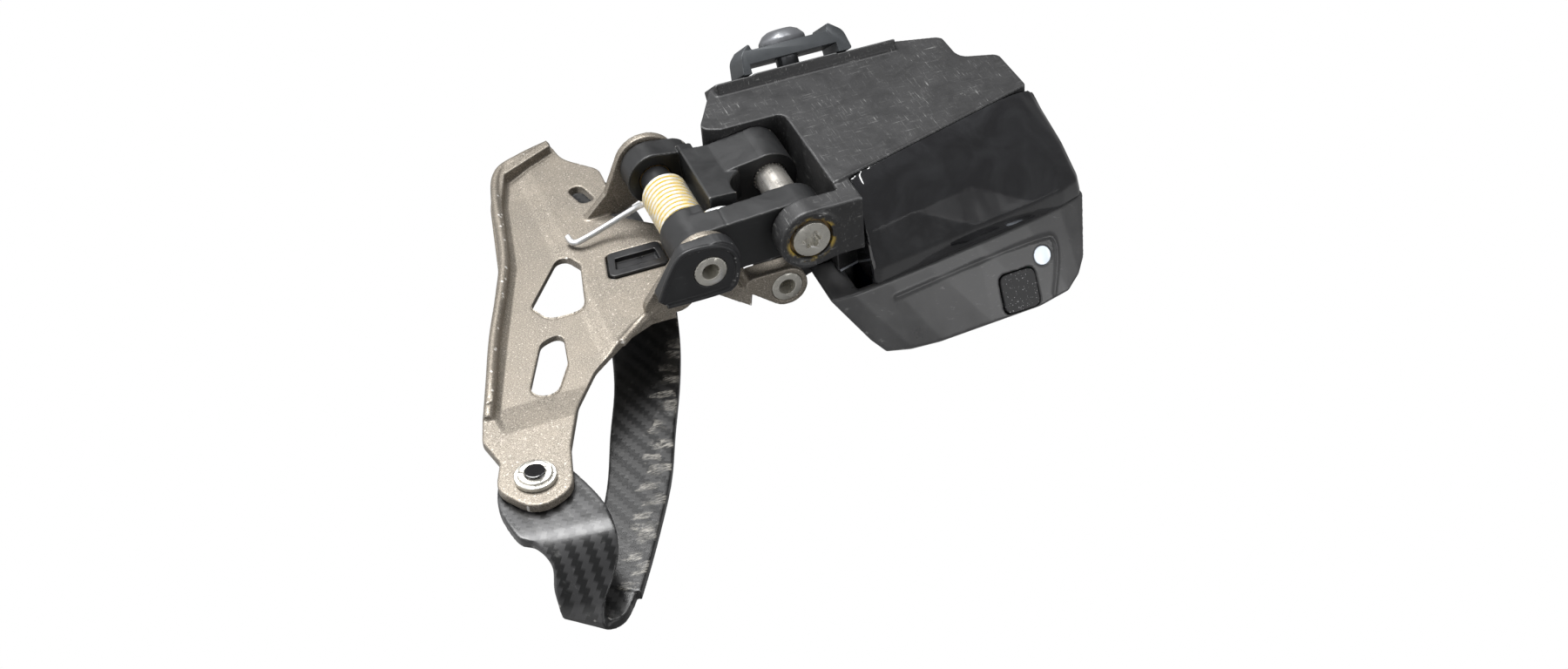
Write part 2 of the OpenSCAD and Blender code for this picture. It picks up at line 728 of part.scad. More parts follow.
// Sweeps a round wire of n sides along a path of points
module sweep(path, r, n) {
    last = len(path) - 1;
    function unit(v) = v / norm(v);
    function tangent(i) = unit(path[min(i + 1, last)] - path[max(i - 1, 0)]);
    function side(t) = unit(cross(t, abs(t[0]) > 0.8 ? [0, 1, 0] : [1, 0, 0]));
    rings = [for (i = [0 : last])
        let (t = tangent(i), u = side(t), v = cross(t, u))
        for (k = [0 : n - 1]) path[i] + r * (u * cos(360 * k / n) + v * sin(360 * k / n))];
    faces = concat(
        [[for (k = [0 : n - 1]) k]],
        [for (i = [0 : last - 1]) for (k = [0 : n - 1])
            [i * n + k, (i + 1) * n + k, (i + 1) * n + (k + 1) % n, i * n + (k + 1) % n]],
        [[for (k = [0 : n - 1]) last * n + n - 1 - k]]);
    polyhedron(rings, faces, convexity = 10);
}

// ---- Cage ----

// The black cap over the near ear: an outline in Y and Z
cap_outline = [[-4.6, -42.4, 2], [-4.0, -33, 6], [-8, -30.4, 5], [-14.6, -31.2, 2.5], [-17, -33, 1],
    [-16.4, -46.4, 1], [-14.6, -48.4, 1]];

module pivot_cap() color([0.09, 0.09, 0.095]) {
    difference() {
        xplate(cap_x, cap_x + cap_t) polygon(rounded(cap_outline));
        xcyl(3.45, cap_x - 1, cap_x + 2.75, pa);
        xcyl(pin_r + 0.05, cap_x, cap_x + 4, pa);
    }
}

// Inner plate outline in X and Z: lower edge from nose to tail, then the upper edge back
plate_outline = [[20, -51, 2], [11.4, -66, 6], [0.3, -69.3, 20], [-22, -73.4, 20], [-45.6, -81.7, 20],
    [-66, -88, 4], [-72, -89.6, 2], [-79, -88, 3], [-86, -90.6, 5], [-94.6, -85, 5], [-91, -77.2, 5],
    [-80, -74.6, 3], [-69, -70, 8], [-60.5, -64, 8], [-53, -55, 5], [-50.2, -49, 1],
    [-50.2, -44, 0], [-39, -43.6, 1], [-38.4, -37.7, 2], [-21, -37.7, 3], [-12, -47.6, 2],
    [-9, -44, 3], [4.6, -43.6, 4], [12, -50, 8]];
rivet_at = [-86, -83];

module inner_cage_plate() color([0.72, 0.68, 0.60]) {
    difference() {
        union() {
            yplate(plate_out, plate_in) polygon(rounded(plate_outline));
            // Raised rim along the lower edge
            yplate(plate_in - 0.1, plate_in + 2.2)
                polygon([[17.6, -51.6], [15, -51.6], [8.6, -63.6], [-1, -66.8], [-22, -70.8], [-45, -79],
                    [-64, -85], [-64.4, -86.6], [-45.4, -80.9], [-22, -72.7], [0, -68.6], [10, -65.3]]);
            // Near ear and its foot
            xplate(ear_near, ear_near + ear_t) {
                bar2d(pa, 6.5, [-18.6, -47.4], 3);
                polygon([[plate_in - 0.2, -50], [-14, -47], [-14, -41], [plate_in - 0.2, -44]]);
            }
            // Far ear and its foot
            xplate(ear_far, ear_far + ear_t) {
                bar2d(pa, 6.8, [-18.4, -44.6], 3);
                polygon([[plate_in - 0.2, -52], [-16, -47], [-14, -38], [plate_in - 0.2, -43]]);
            }
            // Lugs that hold the lower pin, under the plate
            for (x = [[-38.8, -36.3], [-19.7, -17.2]])
                xplate(x[0], x[1]) bar2d(pd, 4.3, [plate_in - 2.4, -43.4], 2.2);
        }
        xcyl(pin_r, ear_near - 1, ear_near + 3, pa);
        xcyl(pin_r, ear_far - 1, ear_far + 3, pa);
        xcyl(pin_r + 0.08, -40, -16, pd);
        // Barrel clearance under the plate
        xcyl(4.25, -36.3, -19.7, pd);
        // Windows, the bridge's seat and the tail rivet's hole
        yplate(plate_out - 1, plate_in + 1) {
            polygon(rounded([[-21, -60, 2], [-27, -57.2, 2.5], [-41.4, -60.4, 3], [-41.4, -68, 3],
                [-36, -70.4, 2]]));
            polygon(rounded([[-46.2, -66.6, 3], [-47.8, -71.6, 3], [-62.4, -78, 3], [-64.8, -73, 3],
                [-56.4, -68.4, 3]]));
            polygon(rounded([[-26.4, -39.8, 1], [-35, -39.8, 1], [-35, -53.4, 1.4], [-26.4, -51.6, 1.4]]));
            translate(rivet_at) circle(r = 3);
        }
        // Small slot by the far ear's foot
        yplate(plate_out - 1, plate_in + 1)
            polygon(rounded([[-0.2, -52.4, 1.4], [0.6, -49.2, 1.4], [-6, -47.6, 1.3], [-6.6, -50.8, 1.3]]));
    }
}

// The outer plate's band follows the chainring: its upper edge, then its lower edge back, in X and Z
outer_upper = [[21, -40], [8, -36.6], [-8, -36], [-24, -37.6], [-40, -41.3], [-53.4, -45.7], [-68.1, -51.6],
    [-81.6, -57], [-97.4, -65.3], [-108, -71.4]];
outer_lower = [[-101, -80.6], [-93, -75.8], [-79.2, -69.1], [-65.1, -64.1], [-50.3, -58.7], [-34, -55],
    [-18, -53.4], [0, -53.6], [16.5, -56]];

// Mid lines of the tail strap, which folds round inboard from the band to the rivet
strap_upper = [[-80.5, -24, -77], [-88.5, -24, -74.4], [-95, -24, -72.9], [-101, -24.2, -72.8],
    [-104.6, -26.5, -73.6], [-107, -29.6, -75.6], [-110, -32.2, -78.4], [-112.8, -35, -79],
    [-111.6, -36.2, -75.4], [-106.4, -35.7, -71.2]];
strap_lower = [[-79.5, -24, -88.6], [-88, -24, -91], [-96.9, -24, -89.9], [-99.6, -24.6, -87.2],
    [-103.2, -26.5, -85.6], [-106.2, -29.4, -86.4], [-107.2, -31.9, -86.3], [-107.4, -34.6, -85.6],
    [-104.6, -36, -83.4], [-99.6, -35.7, -79.4]];

function strap_ring(i) =
    let (last = len(strap_upper) - 1, a = max(i - 1, 0), b = min(i + 1, last),
         run = strap_upper[b] + strap_lower[b] - strap_upper[a] - strap_lower[a],
         across = strap_upper[i] - strap_lower[i], c = cross(run, across),
         n = c * strap_t / 2 / norm(c))
    [strap_upper[i] + n, strap_lower[i] + n, strap_lower[i] - n, strap_upper[i] - n];

module outer_cage_plate() color([0.05, 0.05, 0.055]) {
    difference() {
        union() {
            yplate(outer_out, outer_in) polygon(concat(outer_upper, outer_lower));
            loft([for (i = [0 : len(strap_upper) - 1]) strap_ring(i)]);
        }
        yplate(outer_in + 1, plate_out + 1) translate(rivet_at) circle(r = 2.5);
        for (p = bridge_screw_places) ycyl(1.1, outer_out - 1, outer_in + 1, p);
        // Keeps the strap clear of the inner plate's underside
        yplate(plate_out - 0.05, plate_in) translate([-115, -100]) square([40, 40]);
    }
}

bridge_screw_places = [[-28.8, -49.2], [-32.8, -49.8]];
insert_low = -46.4;

module cage_bridge() color([0.06, 0.06, 0.065]) {
    difference() {
        union() {
            yplate(outer_in + 0.02, plate_in + 0.4)
                polygon(rounded([[-26.7, insert_low, 0], [-34.7, insert_low, 0], [-34.7, -53.0, 1.2],
                    [-26.7, -51.3, 1.2]]));
            // Thin upper part over the lower pin's barrel
            yplate(plate_in - 1.2, plate_in + 0.4)
                polygon(rounded([[-26.7, -40.2, 1], [-34.7, -40.2, 1], [-34.7, insert_low - 1, 0],
                    [-26.7, insert_low - 1, 0]]));
        }
        // Long socket in its face
        yplate(plate_in - 0.7, plate_in + 1) polygon([[-29, -41.6], [-32.6, -41.6], [-32.6, -51], [-29, -50.2]]);
        for (p = bridge_screw_places) ycyl(0.98, outer_in - 1, outer_in + 7, p);
    }
}

module bridge_screws() color([0.55, 0.55, 0.57]) {
    for (p = bridge_screw_places) {
        ycyl(0.96, outer_out - 0.1, outer_in + 6, p);
        difference() {
            ycyl(1.9, outer_out - 1.3, outer_out - 0.05, p);
            translate([p[0], outer_out - 2, p[1]])
                rotate([-90, 0, 0])
                    cylinder(r = 1.1, h = 1.3, $fn = 6);
        }
    }
}

module tail_rivet() color([0.80, 0.78, 0.72]) {
    difference() {
        union() {
            ycyl(4.0, plate_in + 0.02, plate_in + 1.0, rivet_at);
            ycyl(3.2, plate_in + 1.0, plate_in + 1.5, rivet_at);
            ycyl(2.98, plate_out, plate_in + 0.5, rivet_at);
        }
        ycyl(2.0, plate_out - 1, plate_in + 2, rivet_at);
    }
}

module tail_rivet_post() color([0.03, 0.03, 0.03]) {
    ycyl(1.98, plate_out - 2.3, plate_in + 1.9, rivet_at);
    ycyl(3.4, plate_out - 3.5, plate_out - 2.3, rivet_at);
}

in_frame() main_casing();
in_frame() rear_cover();
in_frame() lower_cover();
in_frame() casing_gasket();
in_frame() cover_screws();
in_frame() frame_bolt();
in_frame() radius_washer();
in_frame() mount_insert();
in_frame() drive_shaft();
in_frame() drive_screw();
in_frame() shaft_bearings();
in_frame() output_sector();
in_frame() gear_2();
in_frame() gear_1();
in_frame() gear_axles();
in_frame() motor_pinion();
in_frame() drive_motor();
in_frame() gearbox_plate();
in_frame() battery_cell();
in_frame() circuit_board();
in_frame() tact_switch();
in_frame() mode_button();
in_frame() button_seal();
in_frame() status_led();
in_frame() led_lens();
in_frame() upper_link();
in_frame() lower_link();
in_frame() pivot_pin_a();
in_frame() pivot_pin_c();
in_frame() pivot_pin_d();
in_frame() link_bushes();
in_frame() pin_c_bushes();
in_frame() spring_sleeve();
in_frame() torsion_spring();
in_frame() pivot_cap();
in_frame() inner_cage_plate();
in_frame() outer_cage_plate();
in_frame() cage_bridge();
in_frame() bridge_screws();
in_frame() tail_rivet();
in_frame() tail_rivet_post();
in_frame() position_magnet();
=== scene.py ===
"""Looks of a wireless electronic front derailleur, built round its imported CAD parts.

Lengths are millimetres in the part's drawing frame and become metres in one place, to_metres().
X points forward, Y points inboard, Z points up.
"""

import math

import bmesh
import bpy
import numpy as np
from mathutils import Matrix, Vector


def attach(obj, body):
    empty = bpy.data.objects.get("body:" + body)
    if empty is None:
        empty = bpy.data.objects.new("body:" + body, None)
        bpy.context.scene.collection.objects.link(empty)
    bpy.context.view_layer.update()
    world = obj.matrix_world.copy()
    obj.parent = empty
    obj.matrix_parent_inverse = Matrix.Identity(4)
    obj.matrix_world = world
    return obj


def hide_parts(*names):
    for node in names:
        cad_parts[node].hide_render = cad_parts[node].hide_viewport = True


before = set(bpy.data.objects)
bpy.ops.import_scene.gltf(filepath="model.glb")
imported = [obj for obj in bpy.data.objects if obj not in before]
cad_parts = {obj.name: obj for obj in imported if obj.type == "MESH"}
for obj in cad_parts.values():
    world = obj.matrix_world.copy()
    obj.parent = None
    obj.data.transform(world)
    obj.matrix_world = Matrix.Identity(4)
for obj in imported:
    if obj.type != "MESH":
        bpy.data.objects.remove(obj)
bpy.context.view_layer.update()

MM = 0.001
# From the drawing frame, whose Y = 0 passes the pad's rear edge, to the pad's centre
TURN = math.radians(38)
TO_PAD = np.array([6 - 6 * math.cos(TURN), 6 * math.sin(TURN), 0.0])

# Pivot axes along X, as (Y, Z): the drive shaft and the cage pin
PIVOT_B = (-9.85, -15.6)
PIVOT_A = (-10.7993, -36.999)
# X of the near end of the housing's lug and of the pivot cap
CAP_X = -54.0
# Y of the inner plate's chain face, and of the outer plate's two faces
PLATE_IN = -20.8
OUTER_IN, OUTER_OUT = -34.6, -36.8
# The tail rivet's axis along Y, as (X, Z)
RIVET = (-86.0, -83.0)


# ---- Meshes ----


def to_metres(points):
    return (np.asarray(points, float) + TO_PAD) * MM


def mesh_points(mesh):
    co = np.zeros(len(mesh.vertices) * 3)
    mesh.vertices.foreach_get("co", co)
    return co.reshape(-1, 3)


def set_points(mesh, co):
    mesh.vertices.foreach_set("co", np.asarray(co, np.float32).ravel())
    mesh.update()


def new_object(name, mesh):
    obj = bpy.data.objects.new(name, mesh)
    bpy.context.scene.collection.objects.link(obj)
    return obj


def from_faces(name, points, faces):
    mesh = bpy.data.meshes.new(name)
    mesh.from_pydata([tuple(p) for p in points], [], faces)
    mesh.update()
    return new_object(name, mesh)


def node_copy(node):
    """A CAD node's mesh in millimetres of the drawing frame, welded."""
    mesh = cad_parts[node].data.copy()
    mesh.materials.clear()
    set_points(mesh, mesh_points(mesh) / MM - TO_PAD)
    bm = bmesh.new()
    bm.from_mesh(mesh)
    bmesh.ops.remove_doubles(bm, verts=bm.verts, dist=1e-3)
    bm.to_mesh(mesh)
    bm.free()
    return new_object(node + "_draft", mesh)


def extrusion(outline, lo, hi, axis):
    """A prism: the outline holds the two other axes in X, Y, Z order."""
    others = [i for i in range(3) if i != axis]
    n = len(outline)
    points = []
    for level in (lo, hi):
        for p in outline:
            q = [0.0] * 3
            q[axis] = level
            q[others[0]], q[others[1]] = p
            points.append(q)
    sides = [(i, (i + 1) % n, n + (i + 1) % n, n + i) for i in range(n)]
    obj = from_faces("prism", points, [tuple(range(n)), tuple(range(2 * n - 1, n - 1, -1))] + sides)
    fix_normals(obj)
    return obj


def fix_normals(obj, triangles=False):
    bm = bmesh.new()
    bm.from_mesh(obj.data)
    if triangles:
        bmesh.ops.triangulate(bm, faces=bm.faces)
    bmesh.ops.recalc_face_normals(bm, faces=bm.faces)
    bm.to_mesh(obj.data)
    bm.free()


def tube(path, radius, sides=10, closed=False):
    """A round bar along a path; radius may be a number or one per point."""
    path = [Vector(p) for p in path]
    n = len(path)
    radii = radius if isinstance(radius, (list, tuple)) else [radius] * n
    points, faces = [], []
    normal = None
    for i, p in enumerate(path):
        before = path[i - 1] if i > 0 or closed else p
        after = path[(i + 1) % n] if i < n - 1 or closed else p
        run = (after - before).normalized()
        if normal is None:
            normal = run.orthogonal().normalized()
        normal = (normal - run * normal.dot(run)).normalized()
        side = run.cross(normal)
        for k in range(sides):
            a = math.tau * k / sides
            points.append(p + radii[i] * (normal * math.cos(a) + side * math.sin(a)))
    for i in range(n if closed else n - 1):
        for k in range(sides):
            a, b = i * sides, ((i + 1) % n) * sides
            faces.append((a + k, a + (k + 1) % sides, b + (k + 1) % sides, b + k))
    if not closed:
        faces += [tuple(range(sides - 1, -1, -1)), tuple(range((n - 1) * sides, n * sides))]
    obj = from_faces("tube", points, faces)
    fix_normals(obj)
    return obj


def smooth_path(points, steps=6):
    """A Catmull-Rom curve through the points."""
    pts = [Vector(p) for p in points]
    out = []
    for i in range(len(pts) - 1):
        p0, p1, p2 = pts[max(i - 1, 0)], pts[i], pts[i + 1]
        p3 = pts[min(i + 2, len(pts) - 1)]
        for s in range(steps):
            t = s / steps
            out.append(
                0.5
                * (
                    2 * p1
                    + (p2 - p0) * t
                    + (2 * p0 - 5 * p1 + 4 * p2 - p3) * t * t
                    + (3 * p1 - p0 - 3 * p2 + p3) * t**3
                )
            )
    return out + [pts[-1]]


def ring_path(y, z, r, x, count=48, start=0.0, span=math.tau):
    return [
        (x, y + r * math.sin(start + span * i / count), z + r * math.cos(start + span * i / count))
        for i in range(count + (span < math.tau))
    ]


def evaluated(obj):
    depsgraph = bpy.context.evaluated_depsgraph_get()
    mesh = bpy.data.meshes.new_from_object(obj.evaluated_get(depsgraph))
    obj.modifiers.clear()
    obj.data = mesh
    return obj


def fused(parts, cuts=(), voxel=0.22, smooth=4, factor=0.5):
    """Joins closed drafts into one skin with softly rounded edges, after cutting the cuts away."""
    base = parts[0]
    for cut in cuts:
        mod = base.modifiers.new("cut", "BOOLEAN")
        mod.operation = "DIFFERENCE"
        mod.solver = "EXACT"
        mod.object = cut
    if cuts:
        evaluated(base)
        for cut in cuts:
            bpy.data.objects.remove(cut)
    bm = bmesh.new()
    for part in parts:
        bm.from_mesh(part.data)
    for part in parts[1:]:
        bpy.data.objects.remove(part)
    bm.to_mesh(base.data)
    bm.free()
    mod = base.modifiers.new("skin", "REMESH")
    mod.mode = "VOXEL"
    mod.voxel_size = voxel
    mod.use_smooth_shade = True
    mod = base.modifiers.new("soften", "SMOOTH")
    mod.factor = factor
    mod.iterations = smooth
    return evaluated(base)


def bevelled(obj, width, segments=2, angle=30):
    """Rounds a draft's sharp edges and keeps its flats flat."""
    mod = obj.modifiers.new("flats", "DECIMATE")
    mod.decimate_type = "DISSOLVE"
    mod.angle_limit = math.radians(2)
    mod = obj.modifiers.new("round", "BEVEL")
    mod.width = width
    mod.segments = segments
    mod.limit_method = "ANGLE"
    mod.angle_limit = math.radians(angle)
    mod.harden_normals = True
    evaluated(obj)
    obj.data.polygons.foreach_set("use_smooth", [True] * len(obj.data.polygons))
    obj.data.set_sharp_from_angle(angle=math.radians(35))
    return obj


def place(obj, name, body, material, replaces=()):
    """Puts a finished draft into the row frame and hands it to its body."""
    obj.name = name
    obj.data.name = name
    set_points(obj.data, to_metres(mesh_points(obj.data)))
    obj.data.materials.clear()
    obj.data.materials.append(material)
    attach(obj, body)
    if replaces:
        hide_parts(*replaces)
    return obj


# ---- Materials ----


class Shader:
    """A small wrapper round one material's nodes. Coordinates are millimetres of the row frame."""

    def __init__(self, name):
        self.material = bpy.data.materials.new(name)
        self.material.use_nodes = True
        self.tree = self.material.node_tree
        self.surface = self.tree.nodes["Principled BSDF"]
        coords = self.tree.nodes.new("ShaderNodeTexCoord")
        scale = self.tree.nodes.new("ShaderNodeVectorMath")
        scale.operation = "SCALE"
        scale.inputs[3].default_value = 1 / MM
        self.tree.links.new(coords.outputs["Object"], scale.inputs[0])
        self.place = scale.outputs[0]

    def link(self, source, socket):
        if isinstance(source, (int, float)):
            socket.default_value = source
        elif isinstance(source, (tuple, list)):
            socket.default_value = (*source, 1.0) if len(socket.default_value) == 4 else source
        else:
            self.tree.links.new(source, socket)

    def set(self, **values):
        for key, value in values.items():
            self.link(value, self.surface.inputs[key.replace("_", " ")])
        return self

    def math(self, operation, a, b=0.0, clamp=False):
        node = self.tree.nodes.new("ShaderNodeMath")
        node.operation = operation
        node.use_clamp = clamp
        self.link(a, node.inputs[0])
        self.link(b, node.inputs[1])
        return node.outputs[0]

    def times(self, a, b):
        return self.math("MULTIPLY", a, b)

    def band(self, source, centre, lo, hi):
        """1 within lo of the centre, falling to 0 at hi from it."""
        return self.ramp(self.math("ABSOLUTE", self.math("SUBTRACT", source, centre)), lo, hi, 1.0, 0.0)

    def axes(self):
        node = self.tree.nodes.new("ShaderNodeSeparateXYZ")
        self.link(self.place, node.inputs[0])
        return node.outputs

    def stretched(self, scale, turn=(0, 0, 0)):
        node = self.tree.nodes.new("ShaderNodeMapping")
        self.link(self.place, node.inputs["Vector"])
        node.inputs["Scale"].default_value = scale
        node.inputs["Rotation"].default_value = turn
        return node.outputs[0]

    def noise(self, scale, detail=3.0, rough=0.55, vector=None, distortion=0.0):
        node = self.tree.nodes.new("ShaderNodeTexNoise")
        self.link(vector or self.place, node.inputs["Vector"])
        node.inputs["Scale"].default_value = scale
        node.inputs["Detail"].default_value = detail
        node.inputs["Roughness"].default_value = rough
        node.inputs["Distortion"].default_value = distortion
        return node.outputs["Fac"]

    def ramp(self, source, lo, hi, a=0.0, b=1.0):
        """Maps lo..hi to a..b, clamped."""
        node = self.tree.nodes.new("ShaderNodeMapRange")
        self.link(source, node.inputs["Value"])
        node.inputs["From Min"].default_value = lo
        node.inputs["From Max"].default_value = hi
        node.inputs["To Min"].default_value = a
        node.inputs["To Max"].default_value = b
        return node.outputs["Result"]

    def mix(self, factor, a, b):
        node = self.tree.nodes.new("ShaderNodeMix")
        node.data_type = "RGBA"
        self.link(factor, node.inputs["Factor"])
        self.link(a, node.inputs["A"])
        self.link(b, node.inputs["B"])
        return node.outputs["Result"]

    def edges(self, lo=0.52, hi=0.62):
        """1 on worn convex edges, 0 on flats."""
        node = self.tree.nodes.new("ShaderNodeNewGeometry")
        return self.ramp(node.outputs["Pointiness"], lo, hi)

    def bump(self, height, strength, distance=0.1):
        node = self.tree.nodes.new("ShaderNodeBump")
        self.link(height, node.inputs["Height"])
        node.inputs["Strength"].default_value = strength
        node.inputs["Distance"].default_value = distance * MM
        if self.surface.inputs["Normal"].is_linked:
            self.tree.links.new(self.surface.inputs["Normal"].links[0].from_socket, node.inputs["Normal"])
        self.tree.links.new(node.outputs[0], self.surface.inputs["Normal"])
        return self

    def around(self, pivot, lo, hi):
        """1 close to an axis along X, falling to 0 between two radii in millimetres."""
        _, y, z = self.axes()
        dy = self.math("SUBTRACT", y, pivot[0] + TO_PAD[1])
        dz = self.math("SUBTRACT", z, pivot[1])
        square = self.math("ADD", self.times(dy, dy), self.times(dz, dz))
        return self.ramp(self.math("SQRT", square), lo, hi, 1.0, 0.0)


def plain(name, color, metallic, roughness, grain=0.1, grain_scale=3.0, coat=0.0):
    """A solid finish with fine grain and slightly uneven roughness."""
    s = Shader(name)
    cloud = s.noise(0.35, 3.0)
    fine = s.noise(grain_scale, 2.0)
    darker = tuple(c * 0.78 for c in color)
    s.set(Base_Color=s.mix(cloud, darker, color), Metallic=metallic)
    s.set(Roughness=s.ramp(cloud, 0.3, 0.7, max(roughness - 0.06, 0.03), roughness + 0.06))
    s.set(Coat_Weight=coat)
    s.bump(fine, grain, 0.08)
    return s.material


def blasted_alloy():
    s = Shader("blasted_alloy")
    grain = s.noise(4.2, 2.0, 0.7)
    speck = s.noise(2.3, 3.0, 0.75)
    tone = s.mix(s.ramp(grain, 0.36, 0.66), (0.11, 0.097, 0.08), (0.32, 0.288, 0.245))
    tone = s.mix(s.ramp(speck, 0.6, 0.7), tone, (0.66, 0.61, 0.54))
    stain = s.ramp(s.noise(0.12, 4.0), 0.35, 0.7)
    tone = s.mix(s.times(stain, 0.3), tone, (0.3, 0.262, 0.212))
    tone = s.mix(s.times(s.edges(0.535, 0.62), 0.8), tone, (0.86, 0.84, 0.8))
    s.set(Base_Color=tone, Metallic=0.72)
    s.set(Roughness=s.ramp(speck, 0.3, 0.8, 0.52, 0.36))
    s.bump(grain, 0.35, 0.12)
    return s.material


def scuffed_black(name, base, scuff, rough, amount=0.5, metallic=0.25, edge=(0.5, 0.51, 0.52), rings=()):
    """Black paint with crossing hair scratches and pale worn edges.

    rings holds pivots and radii; grease lies round each on the near side only.
    """
    s = Shader(name)
    cloud = s.noise(0.16, 5.0, 0.65, distortion=0.8)
    hair_a = s.noise(1.0, 4.0, 0.7, s.stretched((0.25, 1.0, 4.5), (0.2, 0.5, 0.1)))
    hair_b = s.noise(1.0, 4.0, 0.7, s.stretched((4.0, 1.0, 0.22), (0.1, -0.4, 0.3)))
    hair = s.math("MAXIMUM", s.ramp(hair_a, 0.6, 0.78), s.ramp(hair_b, 0.61, 0.8))
    marks = s.times(s.times(hair, s.ramp(cloud, 0.38, 0.62)), amount)
    tone = s.mix(marks, s.mix(cloud, tuple(c * 0.6 for c in base), base), scuff)
    tone = s.mix(s.times(s.edges(0.535, 0.63), 0.55), tone, edge)
    for pivot, reach in rings:
        near_side = s.ramp(s.axes()[0], -40.0, -38.0, 1.0, 0.0)
        near = s.times(s.around(pivot, reach, reach + 1.3), near_side)
        grease = s.times(near, s.ramp(s.noise(0.34, 3.0, 0.6), 0.46, 0.58))
        tone = s.mix(s.times(grease, 0.85), tone, (0.55, 0.38, 0.05))
    s.set(Base_Color=tone, Metallic=metallic)
    s.set(Roughness=s.ramp(cloud, 0.3, 0.7, rough - 0.08, rough + 0.1))
    s.bump(s.noise(6.0, 2.0), 0.1, 0.06)
    s.bump(hair, 0.1 * amount, 0.05)
    return s.material


def gloss_black():
    s = Shader("gloss_black")
    smear = s.noise(0.11, 4.0, 0.6, distortion=1.2)
    tone = s.mix(s.ramp(smear, 0.4, 0.75), (0.004, 0.004, 0.005), (0.012, 0.0125, 0.014))
    s.set(Base_Color=tone, Metallic=0.0, Coat_Weight=1.0, Coat_Roughness=0.03)
    s.set(Roughness=s.ramp(smear, 0.35, 0.75, 0.06, 0.16))
    s.bump(s.noise(0.5, 2.0), 0.05, 0.15)
    return s.material


def carbon(name, scuffs):
    """Twill carbon under satin lacquer; scuffs adds the rub marks a chain leaves on the inner face."""
    s = Shader(name)
    x, y, z = s.axes()
    pitch = 1.15
    along = s.times(s.math("ADD", x, s.times(z, 0.5)), 1 / pitch)
    across = s.times(s.math("SUBTRACT", z, s.times(s.math("ADD", x, y), 0.5)), 1 / pitch)
    step = s.math("FLOOR", across)
    phase = s.math("FRACT", s.times(s.math("ADD", along, step), 0.25))
    warp = s.ramp(s.math("ABSOLUTE", s.math("SUBTRACT", phase, 0.5)), 0.2, 0.3)
    pale = (0.012, 0.012, 0.0122) if scuffs else (0.026, 0.026, 0.027)
    tone = s.mix(warp, (0.007, 0.0072, 0.0075), pale)
    wear = s.ramp(s.noise(0.3, 5.0, 0.7), 0.6, 0.74)
    tone = s.mix(s.times(wear, 0.35), tone, (0.17, 0.17, 0.165))
    if scuffs:
        tone = s.mix(chain_marks(s, x, y, z), tone, (0.3, 0.285, 0.255))
    tone = s.mix(s.times(s.edges(0.55, 0.64), 0.5), tone, (0.3, 0.29, 0.27))
    s.set(Base_Color=tone, Metallic=0.1, Coat_Weight=0.25, Coat_Roughness=0.25)
    s.set(Roughness=s.ramp(warp, 0.0, 1.0, 0.3, 0.4))
    s.bump(warp, 0.25, 0.05)
    return s.material


def chain_marks(s, x, y, z):
    """Rows of broken bars along the outer plate's inner face, with shorter ones between and below."""
    run = s.math("SUBTRACT", s.times(x, -0.9), s.times(z, 0.42))
    rise = s.math("ADD", s.times(z, 0.9), s.times(x, -0.42))
    period = 8.6
    drift = s.ramp(s.noise(0.09, 2.0), 0.3, 0.7, -0.2, 0.2)
    rise = s.math("ADD", rise, s.ramp(s.noise(0.5, 3.0), 0.3, 0.7, -1.6, 1.6))
    cell = s.math("DIVIDE", s.math("ADD", run, s.times(rise, 0.16)), period)
    cell = s.math("ADD", drift, cell)
    bar = s.band(s.math("FRACT", cell), 0.5, 0.13, 0.2)
    short = s.band(s.math("FRACT", s.math("ADD", cell, 0.46)), 0.5, 0.1, 0.15)
    middle = s.band(rise, -18.5, 3.1, 4.0)
    low = s.band(rise, -21.6, 1.2, 1.9)
    hair = s.ramp(s.noise(1.0, 4.0, 0.75, s.stretched((3.0, 1.0, 0.6), (0, 0.35, 0))), 0.42, 0.66)
    patch = s.math("MAXIMUM", s.times(bar, middle), s.times(short, low))
    inner_face = OUTER_IN + TO_PAD[1]
    side = s.ramp(y, inner_face - 0.3, inner_face - 0.12)
    fade = s.ramp(s.noise(0.2, 2.0), 0.38, 0.54)
    return s.times(s.times(patch, hair), s.times(side, fade))


def zinc_spring():
    """Zinc wire; grease pools between the coils and only films the legs."""
    s = Shader("zinc_spring")
    low = s.around(PIVOT_A, 4.75, 4.95)
    smear = s.ramp(s.noise(0.8, 4.0, 0.65), 0.42, 0.55)
    pooled = s.times(low, s.ramp(smear, 0.0, 1.0, 0.7, 1.0))
    grease = s.math("MAXIMUM", pooled, s.times(smear, 0.55))
    coils = s.around(PIVOT_A, 5.3, 5.6)
    grease = s.times(grease, s.ramp(coils, 0.0, 1.0, 0.1, 1.0))
    tone = s.mix(s.noise(1.4, 3.0), (0.55, 0.57, 0.6), (0.9, 0.92, 0.95))
    tone = s.mix(grease, tone, (0.66, 0.47, 0.05))
    s.set(Base_Color=tone, Metallic=s.ramp(grease, 0.0, 1.0, 0.75, 0.0), Roughness=0.34)
    return s.material


def steel(name, color, rough):
    """Machined steel with bright worn edges."""
    s = Shader(name)
    cloud = s.noise(0.5, 3.0)
    tone = s.mix(cloud, tuple(c * 0.72 for c in color), color)
    tone = s.mix(s.edges(0.55, 0.65), tone, (0.92, 0.92, 0.92))
    s.set(Base_Color=tone, Metallic=0.85)
    s.set(Roughness=s.ramp(cloud, 0.3, 0.7, rough - 0.07, rough + 0.07))
    s.bump(s.noise(5.0, 2.0), 0.08, 0.05)
    return s.material


def speckled_rubber():
    s = Shader("speckled_rubber")
    dots = s.ramp(s.noise(3.4, 1.0, 0.4), 0.7, 0.74)
    s.set(Base_Color=s.mix(dots, (0.012, 0.012, 0.013), (0.35, 0.35, 0.36)), Roughness=0.5)
    s.bump(s.noise(3.0, 2.0), 0.2, 0.08)
    return s.material


